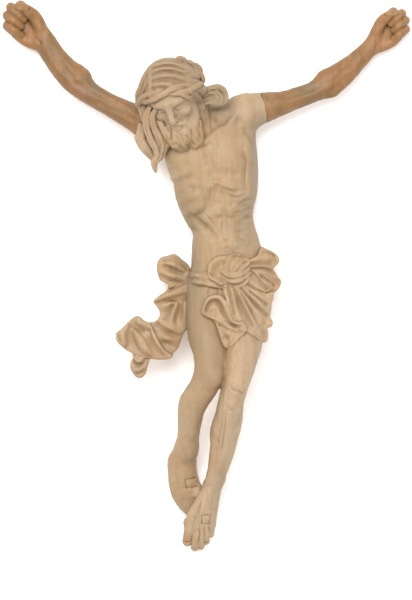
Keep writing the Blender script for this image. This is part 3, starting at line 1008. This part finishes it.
def carveFist(wood, shape):
    along = np.array(shape["reach"], float)
    along /= np.linalg.norm(along)
    across = np.array([-along[1], along[0], 0]) * shape["thumbSide"]
    size = shape["fist"]

    def part(stations, fillet, cutting=False):
        # stations are forward along the hand, towards the thumb, up, radius and depth if it differs
        rows = []
        for s in stations:
            f, side, z, r = s[:4]
            deep = s[4] if len(s) == 5 else r
            place = np.array(shape["wrist"]) + size * (along * f + across * side + np.array([0, 0, z]))
            rows.append((*place, r * size, deep * size))
        (wood.cut if cutting else wood.add)(limb(rows), fillet)

    part([(-1, 0, 0, 7, 6), (7, 0.2, -2, 9.6, 5.8), (16, 0.8, -4, 12.4, 5.2), (24, 0.6, -4.4, 11.6, 4.8)], 3)
    part([(3, 4, 1, 4.2), (10, 6.8, 2.2, 4.6), (17, 9, 2.4, 4.2)], 3)
    part([(4, -5.8, 0, 3.8), (12, -8, 0.4, 4.2), (19, -8.8, 0, 3.4)], 3)
    for side, out, r in ((9, 29.4, 3.5), (3.4, 33.6, 3.6), (-2.6, 31.8, 3.4), (-8.2, 27.2, 3.1)):
        part([
            (out - 12, side, -5, r), (out - 1, side * 1.04, -3.4, r * 1.06),
            (out + 0.8, side * 1.04, 0, r * 1.02), (out + 0.2, side, 3.6, r),
            (out - 5.4, side * 0.95, 6.4, r * 0.98), (out - 11.4, side * 0.9, 3.6, r * 0.86),
        ], 0.5)
        part([(out - 1, side * 0.9 - 2, 6.4, 0.5), (out - 0.6, side * 0.9 + 2, 6.4, 0.5)], 0.6, cutting=True)
    part([(9, 7.4, 1.6, 3.9), (17, 10.6, 4, 3.7), (24, 10, 7, 3.5), (30, 7.4, 9, 2.9)], 0.8)
    part([(22, 8.4, 10.6, 0.7), (23.4, 12.6, 9, 0.6)], 0.7, cutting=True)
    part([(28.6, 8.6, 11.6, 1.7, 0.7), (30.8, 7.2, 11.4, 1.7, 0.7)], 0.3, cutting=True)
    part([(1, -2.4, 6.8, 0.8), (8, -1.8, 6, 1.2), (14, 1.4, 4, 1.2), (18, 4.6, 3.6, 0.8)], 1.6, cutting=True)
    part([(11, -5.4, 5.2, 0.6), (15, -2.6, 3.6, 0.9), (18.4, 0.4, 2.6, 0.6)], 1.2, cutting=True)


def roomFor(side, cell, around=30):
    # the room an arm takes beyond its joint, as a grid of its own
    shape = armShapes[side]
    x, y, _ = shape["joint"]
    room = Block((x - around, y - around, -4), (x + around, y + around, 52), cell)
    clear = shape["clear"]
    room.add(limb([(a, b, c, w + clear, d + clear) for a, b, c, w, d in shape["arm"][:4]]), 1)
    room.keepBehind(shape["joint"], [-d for d in shape["leaves"]], figure["glueLine"])
    return room


def carveCorpus():
    cell = figure["cell"]
    low, high = figure["corpusRoom"]
    wood = Block((*low, -2 * cell), high, cell)
    stages = (carveTrunk, carveLegs, carveChest, carveFeet, carveHead, carveBeard, carveHair, carveWreath,
              carveLocks, carveWrap, carveKnot, carveTail)
    for stage in stages:
        stage(wood)
        print("corpus:", stage.__name__)
    for side in ("left", "right"):
        room = roomFor(side, cell)
        place, axes = wood.window(room.low, room.low + (np.array(room.size) - 1) * cell)
        index = [np.clip(np.rint((a.ravel() - o) / cell).astype(int), 0, n - 1)
                 for a, o, n in zip(axes, room.low, room.size)]
        wood.value[place] = np.maximum(wood.value[place], -room.value[np.ix_(*index)])
    wood.facets(*figure["corpusKnife"])
    wood.keepBehind(*backPlane)
    return wood


def carveArm(side):
    shape = armShapes[side]
    wood = Block(*shape["room"], figure["cell"])
    wood.add(limb(shape["arm"]), 1)
    for place, radii, turn in shape["swellings"]:
        wood.add(ball(place, radii, (0, 0, turn)), 4)
    for route in shape["hollows"]:
        groove(wood, route, lift=1.5, wide=2.6, deep=2.4, fillet=3.5)
    carveFist(wood, shape)
    wood.facets(*figure["armKnife"])
    wood.keepBehind(shape["joint"], [-d for d in shape["leaves"]])
    wood.keepBehind(*backPlane)
    return wood


def shelter(wood, points, reach):
    # how closed in each point is by the wood around it: 0.5 on a flat face, 1 deep in a hollow
    step = 2
    solid = np.clip(0.5 - wood.value[::step, ::step, ::step] / (2 * wood.cell), 0, 1)
    r = max(1, int(round(reach / (wood.cell * step))))
    for axis in range(3):
        solid = np.moveaxis(solid, axis, 0)
        rim = np.zeros((r + 1, *solid.shape[1:]), np.float32)
        total = np.cumsum(np.concatenate([rim, solid, rim[1:]]), axis=0, dtype=np.float32)
        solid = np.moveaxis((total[2 * r + 1:] - total[:-2 * r - 1]) / (2 * r + 1), 0, axis)
    at = (points - wood.low) / (wood.cell * step)
    i = np.clip(at.astype(int), 0, np.array(solid.shape) - 2)
    f = np.clip(at - i, 0, 1)
    out = np.zeros(len(points))
    for corner in range(8):
        bit = np.array([corner & 1, corner >> 1 & 1, corner >> 2])
        out += np.prod(np.where(bit, f, 1 - f), axis=1) * solid[tuple((i + bit).T)]
    return out


tonePatches = {
    # x, y, half width, half height, strength of a soft patch
    "pale": [
        (31, 133, 13, 15, 1.1), (-16, 104, 20, 14, 0.1), (28, -72, 13, 24, 2), (20, -120, 12, 32, 2),
        (0, -190, 13, 28, 1.9), (10, 50, 12, 20, 0.35), (15, 82, 9, 8, 0.3), (-14, -128, 9, 20, 0.8),
        (-155, 205, 22, 22, 0.8), (152, 200, 22, 22, 2), (-24, 130, 15, 13, 2), (22, -30, 22, 16, 0.8),
        (-46, 122, 11, 32, 2), (-60, -30, 22, 40, 1), (36, -30, 14, 26, 1.4), (-14, -86, 22, 12, 0.3),
    ],
    "dull": [
        (-32, 170, 30, 16, 1.5), (4, 146, 16, 14, 1.4), (-9, -34, 9, 28, 1.7), (0, -66, 14, 22, 1.1),
        (-9, 167, 8, 12, 0.8), (43, 88, 7, 46, 0.6), (-52, 156, 10, 20, 1.8), (-128, 181, 9, 9, 0.6),
        (-94, 152, 12, 9, 1), (-50, 140, 10, 16, 0.5), (-20, 45, 12, 26, 1.1), (20, 100, 12, 12, 0.4),
        (6, 128, 14, 12, 0.5), (-12, 70, 14, 14, 0.3), (24, 4, 16, 12, 0.3), (-14, -160, 12, 16, 0.3),
    ],
    "grey": [
        (43, 88, 7, 40, 1.2), (31, 44, 6, 24, 0.9), (14, 136, 14, 14, 0.6), (-14, 10, 8, 24, 0.7),
        (30, -50, 5, 26, 0.4), (3, 144, 14, 9, 0.6), (10, -178, 6, 20, 0.6), (-97, 155, 9, 8, 0.8),
        (84, 152, 12, 6, 0.8), (-31, 150, 22, 20, 0.2),
    ],
    "pink": [
        (22, 92, 12, 14, 0.8), (12, 118, 12, 10, 0.5), (-46, 130, 6, 20, 0.6), (-24, -150, 8, 8, 0.8),
        (24, -66, 10, 20, 0.7), (-104, 152, 8, 8, 0.8), (-150, 200, 12, 12, 0.6), (100, 160, 10, 8, 0.9),
        (150, 196, 14, 10, 0.7), (-58, 0, 14, 10, 0.4), (-16, -212, 5, 6, 0.9), (-60, -60, 16, 16, 0.3),
        (2, -140, 8, 30, 0.5),
    ],
}


def patches(points, spots):
    total = np.zeros(len(points))
    for x, y, halfWidth, halfHeight, strength in spots:
        r = np.hypot((points[:, 0] - x) / halfWidth, (points[:, 1] - y) / halfHeight)
        total = np.maximum(total, strength * np.clip(1.6 - r, 0, 1))
    return total


def onCloth(points):
    # 1 on the cloth: on its sheets, its round knot or its band
    x, y = points[:, 0], points[:, 1]
    knot = np.hypot(x - 24, y - 4.4) - 13
    band = np.maximum(np.abs(x + 3) - 16, np.abs(y + 1.6) - 6.4)
    nearest = np.minimum(knot, band)
    for sheet in cloth.values():
        low, high = np.min(sheet["outline"], axis=0) - 3, np.max(sheet["outline"], axis=0) + 3
        near = (x > low[0]) & (x < high[0]) & (y > low[1]) & (y < high[1])
        nearest[near] = np.minimum(nearest[near], outlineDistance(sheet["outline"], x[near], y[near]))
    return np.clip(0.5 - nearest / 3, 0, 1)


def pointsOf(mesh):
    co = np.zeros(3 * len(mesh.vertices), np.float32)
    mesh.vertices.foreach_get("co", co)
    return co.reshape(-1, 3)


def surfaceOf(wood, name, triangles):
    # the carved surface as a mesh, with the tones that the material reads on its points
    wood.close()
    thick = 3 * wood.cell
    grid = openvdb.FloatGrid(background=thick)
    grid.copyFromArray(np.clip(wood.value, -thick, thick))
    points, quads = grid.convertToQuads(0.0)
    mesh = bpy.data.meshes.new(name)
    mesh.vertices.add(len(points))
    mesh.loops.add(4 * len(quads))
    mesh.polygons.add(len(quads))
    mesh.vertices.foreach_set("co", (points * wood.cell + wood.low).astype(np.float32).ravel())
    mesh.loops.foreach_set("vertex_index", quads[:, ::-1].astype(np.int32).ravel())
    mesh.polygons.foreach_set("loop_start", np.arange(0, 4 * len(quads), 4, dtype=np.int32))
    mesh.update(calc_edges=True)
    obj = bpy.data.objects.new(name, mesh)
    bpy.context.scene.collection.objects.link(obj)
    fine = obj.modifiers.new("fine", "DECIMATE")
    fine.ratio = min(1, triangles / (2 * len(quads)))
    fine.use_collapse_triangulate = True
    bpy.context.view_layer.update()
    result = bpy.data.meshes.new_from_object(obj.evaluated_get(bpy.context.evaluated_depsgraph_get()))
    obj.modifiers.clear()
    obj.data = result
    bpy.data.meshes.remove(mesh)
    result.name = name
    points = pointsOf(result)
    tones = {label: shelter(wood, points, reach) for label, reach in (("crevice", 1.6), ("hollow", 6))}
    tones["cloth"] = onCloth(points)
    tones |= {tone: patches(points, spots) for tone, spots in tonePatches.items()}
    upright = np.zeros(3 * len(points), np.float32)
    result.vertices.foreach_get("normal", upright)
    tones["flank"] = np.clip(1.35 - upright[2::3] / 0.6, 0, 1)
    for label, values in tones.items():
        attribute = result.attributes.new(label, "FLOAT", "POINT")
        attribute.data.foreach_set("value", values.astype(np.float32))
    result.polygons.foreach_set("use_smooth", np.ones(len(result.polygons), bool))
    print(name, 2 * len(quads), "facets planed down to", len(result.polygons))
    return obj


parts = {
    "corpus": surfaceOf(carveCorpus(), "carved_corpus", figure["corpusTriangles"]),
    "left_arm": surfaceOf(carveArm("left"), "carved_left_arm", figure["armTriangles"]),
    "right_arm": surfaceOf(carveArm("right"), "carved_right_arm", figure["armTriangles"]),
}

# the middle of the figure's box is the origin, on the plane of its back
everything = np.concatenate([pointsOf(obj.data) for obj in parts.values()])
middle = (everything.min(0) + everything.max(0)) / 2
middle[2] = 0
print("box of the carving:", everything.min(0).round(2), everything.max(0).round(2))
for node, obj in parts.items():
    low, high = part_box(node)
    moved = np.clip((pointsOf(obj.data) - middle) * unit, np.array(low), np.array(high))
    obj.data.vertices.foreach_set("co", moved.astype(np.float32).ravel())
    obj.data.update()
    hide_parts(node)
    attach(obj, "root")


class Socket:
    # one value of a shader graph; arithmetic on it adds Math nodes
    def __init__(self, graph, out):
        self.graph, self.out = graph, out

    def math(self, operation, first, second, clamp=False):
        settings = {"operation": operation, "use_clamp": clamp}
        return self.graph.node("ShaderNodeMath", settings, {0: first, 1: second})

    def __add__(self, other):
        return self.math("ADD", self, other)

    def __sub__(self, other):
        return self.math("SUBTRACT", self, other)

    def __rsub__(self, other):
        return self.math("SUBTRACT", other, self)

    def __mul__(self, other):
        return self.math("MULTIPLY", self, other)

    __radd__, __rmul__ = __add__, __mul__

    def clamp(self):
        return self.math("ADD", self, 0, clamp=True)

    def between(self, low, high):
        # 0 at low, 1 at high, smooth in between
        return self.graph.node("ShaderNodeMapRange", {"interpolation_type": "SMOOTHSTEP"},
                               {"Value": self, "From Min": low, "From Max": high})


class Graph:
    def __init__(self, name):
        self.material = bpy.data.materials.new(name)
        self.material.use_nodes = True
        self.tree = self.material.node_tree
        self.tree.nodes.clear()

    def node(self, kind, settings, inputs, output=0):
        # the settings are set first, then the values or links of the sockets
        made = self.tree.nodes.new(kind)
        for key, value in settings.items():
            setattr(made, key, value)
        for key, value in inputs.items():
            if isinstance(value, Socket):
                self.tree.links.new(value.out, made.inputs[key])
            else:
                made.inputs[key].default_value = value
        return Socket(self, made.outputs[output]) if made.outputs else made

    def noise(self, place, turn, size, detail, rough, distortion):
        if isinstance(size, tuple):
            place = self.node("ShaderNodeMapping", {}, {"Vector": place, "Scale": size, "Rotation": turn})
            size = 1.0
        return self.node("ShaderNodeTexNoise", {}, {
            "Vector": place, "Scale": size, "Detail": detail, "Roughness": rough, "Distortion": distortion})


def linear(*colour):
    # red, green and blue as a screen gives them, from 11 to 255, as linear light
    return (*(((c / 255 + 0.055) / 1.055) ** 2.4 for c in colour), 1)


woodLooks = {
    "corpus": {
        "wood": (204, 168, 120), "pale": (226, 194, 158), "dull": (164, 133, 94), "cloth": (214, 169, 119),
        "grey": (164, 152, 130), "pink": (216, 156, 116), "flank": (112, 94, 70),
        "crevice": (132, 84, 42), "streak": (160, 122, 78), "streaks": 0.25, "rough": 0.62,
    },
    "arm": {
        "wood": (166, 109, 30), "pale": (208, 146, 80), "dull": (140, 96, 36), "cloth": (164, 110, 48),
        "grey": (134, 116, 78), "pink": (206, 122, 60), "flank": (82, 64, 42),
        "crevice": (84, 54, 28), "streak": (118, 82, 40), "streaks": 0.4, "rough": 0.55,
    },
}


woodNoises = {
    # waves on each metre, one number or across, along and through the wood; detail, roughness, distortion
    "grain": ((260, 9, 120), 4, 0.6, 0.4),
    "bands": ((150, 14, 90), 3, 0.6, 0.6),
    "blotch": ((90, 50, 90), 4, 0.7, 0.8),
    "knife": ((420, 90, 300), 2, 0.5, 0.0),
    "cloud": (45.0, 5, 0.65, 0.0),
    "speck": (420.0, 3, 0.7, 0.0),
}
woodLayers = {
    # tone, the noise that brings it, where it starts and is full, its strength as a number or the look's own
    "under": (
        ("pale", "cloud", 0.48, 0.62, 0.65), ("pink", "blotch", 0.51, 0.64, 0.75),
        ("grey", "blotch", 0.47, 0.34, 0.6),
    ),
    "patches": {"pale": 0.65, "dull": 0.75, "grey": 0.8, "pink": 0.5},
    "over": (
        ("dull", "bands", 0.5, 0.66, 0.4), ("streak", "grain", 0.48, 0.7, "streaks"),
        ("dull", "speck", 0.5, 0.66, 0.4),
    ),
    "worn": 0.35,
    "flank": 0.7,
}


def woodMaterial(name, look, turn):
    g = Graph(name)
    place = g.node("ShaderNodeTexCoord", {}, {}, 3)

    def painted(label):
        return g.node("ShaderNodeAttribute", {"attribute_name": label}, {}, 2)

    def over(base, share, tone):
        return g.node("ShaderNodeMix", {"data_type": "RGBA"}, {0: share, 6: base, 7: linear(*look[tone])}, 2)

    def washed(base, layers):
        for tone, noise, start, full, strength in layers:
            base = over(base, noises[noise].between(start, full) * look.get(strength, strength), tone)
        return base

    crevice, hollow, onSheet = (painted(label) for label in ("crevice", "hollow", "cloth"))
    noises = {label: g.noise(place, turn, *values) for label, values in woodNoises.items()}
    grain = noises["grain"]
    base = over(linear(*look["wood"]), onSheet, "cloth")
    base = washed(base, woodLayers["under"])
    for tone, gain in woodLayers["patches"].items():
        base = over(base, (painted(tone) * (noises["cloud"] * 0.9 + 0.55) * gain).clamp(), tone)
    base = washed(base, woodLayers["over"])
    dark = crevice.between(0.5, 0.68) * (0.8 - onSheet * 0.3) + hollow.between(0.55, 0.85) * 0.22
    base = over(base, dark.clamp(), "crevice")
    base = over(base, crevice.between(0.46, 0.3) * woodLayers["worn"], "pale")
    base = over(base, painted("flank") * woodLayers["flank"], "flank")
    cuts = grain * 0.4 + noises["knife"] * 0.6
    bump = g.node("ShaderNodeBump", {}, {"Height": cuts, "Strength": 0.4, "Distance": 0.0006})
    rough = grain * 0.16 + (look["rough"] - 0.08)
    shader = g.node("ShaderNodeBsdfPrincipled", {}, {"Base Color": base, "Roughness": rough, "Normal": bump})
    g.node("ShaderNodeOutputMaterial", {}, {"Surface": shader})
    return g.material


# material, looks, the slope of its grain in radians, and its slot
woodsOf = {
    "corpus": ("limewood", "corpus", 0, "corpus_wood"),
    "left_arm": ("arm_limewood_left", "arm", 0.85, "arm_wood"),
    "right_arm": ("arm_limewood_right", "arm", -0.85, "arm_wood"),
}
for node, (name, look, slope, slot) in woodsOf.items():
    obj = parts[node]
    obj.data.materials.clear()
    obj.data.materials.append(woodMaterial(name, woodLooks[look], (0, 0, slope)))
print("materials done")

studio = {
    "paper": (250, 250, 250),
    "paperRough": 0.9,
    "floorHalf": 4.0,  # metres, like every length here that names no other unit
    "floorDrop": 0.0004,  # floor under the back, so that the two don't share a plane
    "roomLight": 1.0,
    "lights": {"window": ((-0.4, 1.1, 2.6), 84), "fill": ((0.7, -0.5, 2.6), 12)},  # places and watts
    "lightSize": 1.6,
    "figurePlane": 0.03,  # height at which the picture's scale holds
    "cameraAway": 6.0,  # from that plane
    "pixel": 0.0008114,  # across one pixel of the picture, on that plane
    "pictureHeight": 600,  # pixels
    "aside": (0.5, 23),  # pixels that the picture's middle lies left of and below the drawing's origin
    "sensor": 36.0,  # millimetres
}
edge = studio["floorHalf"]
floorMesh = bpy.data.meshes.new("floor")
corners = [(edge * x, edge * y, 0) for x, y in ((-1, -1), (1, -1), (1, 1), (-1, 1))]
floorMesh.from_pydata(corners, [], [(0, 1, 2, 3)])
floor = bpy.data.objects.new("floor", floorMesh)
floor.location.z = -studio["floorDrop"]
bpy.context.scene.collection.objects.link(floor)
g = Graph("paper")
paper = g.node("ShaderNodeBsdfPrincipled", {}, {
    "Base Color": linear(*studio["paper"]), "Roughness": studio["paperRough"]})
g.node("ShaderNodeOutputMaterial", {}, {"Surface": paper})
floorMesh.materials.append(g.material)

world = bpy.data.worlds.new("soft_room")
bpy.context.scene.world = world
world.use_nodes = True
room = world.node_tree.nodes["Background"].inputs
room["Color"].default_value = (1, 1, 1, 1)
room["Strength"].default_value = studio["roomLight"]

for name, (place, power) in studio["lights"].items():
    lampData = bpy.data.lights.new(name, "AREA")
    lampData.shape, lampData.size, lampData.energy = "SQUARE", studio["lightSize"], power
    lamp = bpy.data.objects.new(name, lampData)
    lamp.location = place
    lamp.rotation_euler = (-Vector(place)).to_track_quat("-Z", "Y").to_euler()
    bpy.context.scene.collection.objects.link(lamp)

pixel = studio["pixel"]
left, below = studio["aside"]
cameraData = bpy.data.cameras.new("camera")
cameraData.sensor_fit = "VERTICAL"
cameraData.sensor_height = studio["sensor"]
cameraData.lens = studio["sensor"] * studio["cameraAway"] / (studio["pictureHeight"] * pixel)
cameraData.clip_end = 50
camera = bpy.data.objects.new("camera", cameraData)
camera.location = (-middle[0] * unit - left * pixel, -middle[1] * unit - below * pixel,
                   studio["cameraAway"] + studio["figurePlane"])
bpy.context.scene.collection.objects.link(camera)
bpy.context.scene.camera = camera
bpy.context.scene.view_settings.view_transform = "Standard"

print("figure carved and lit")
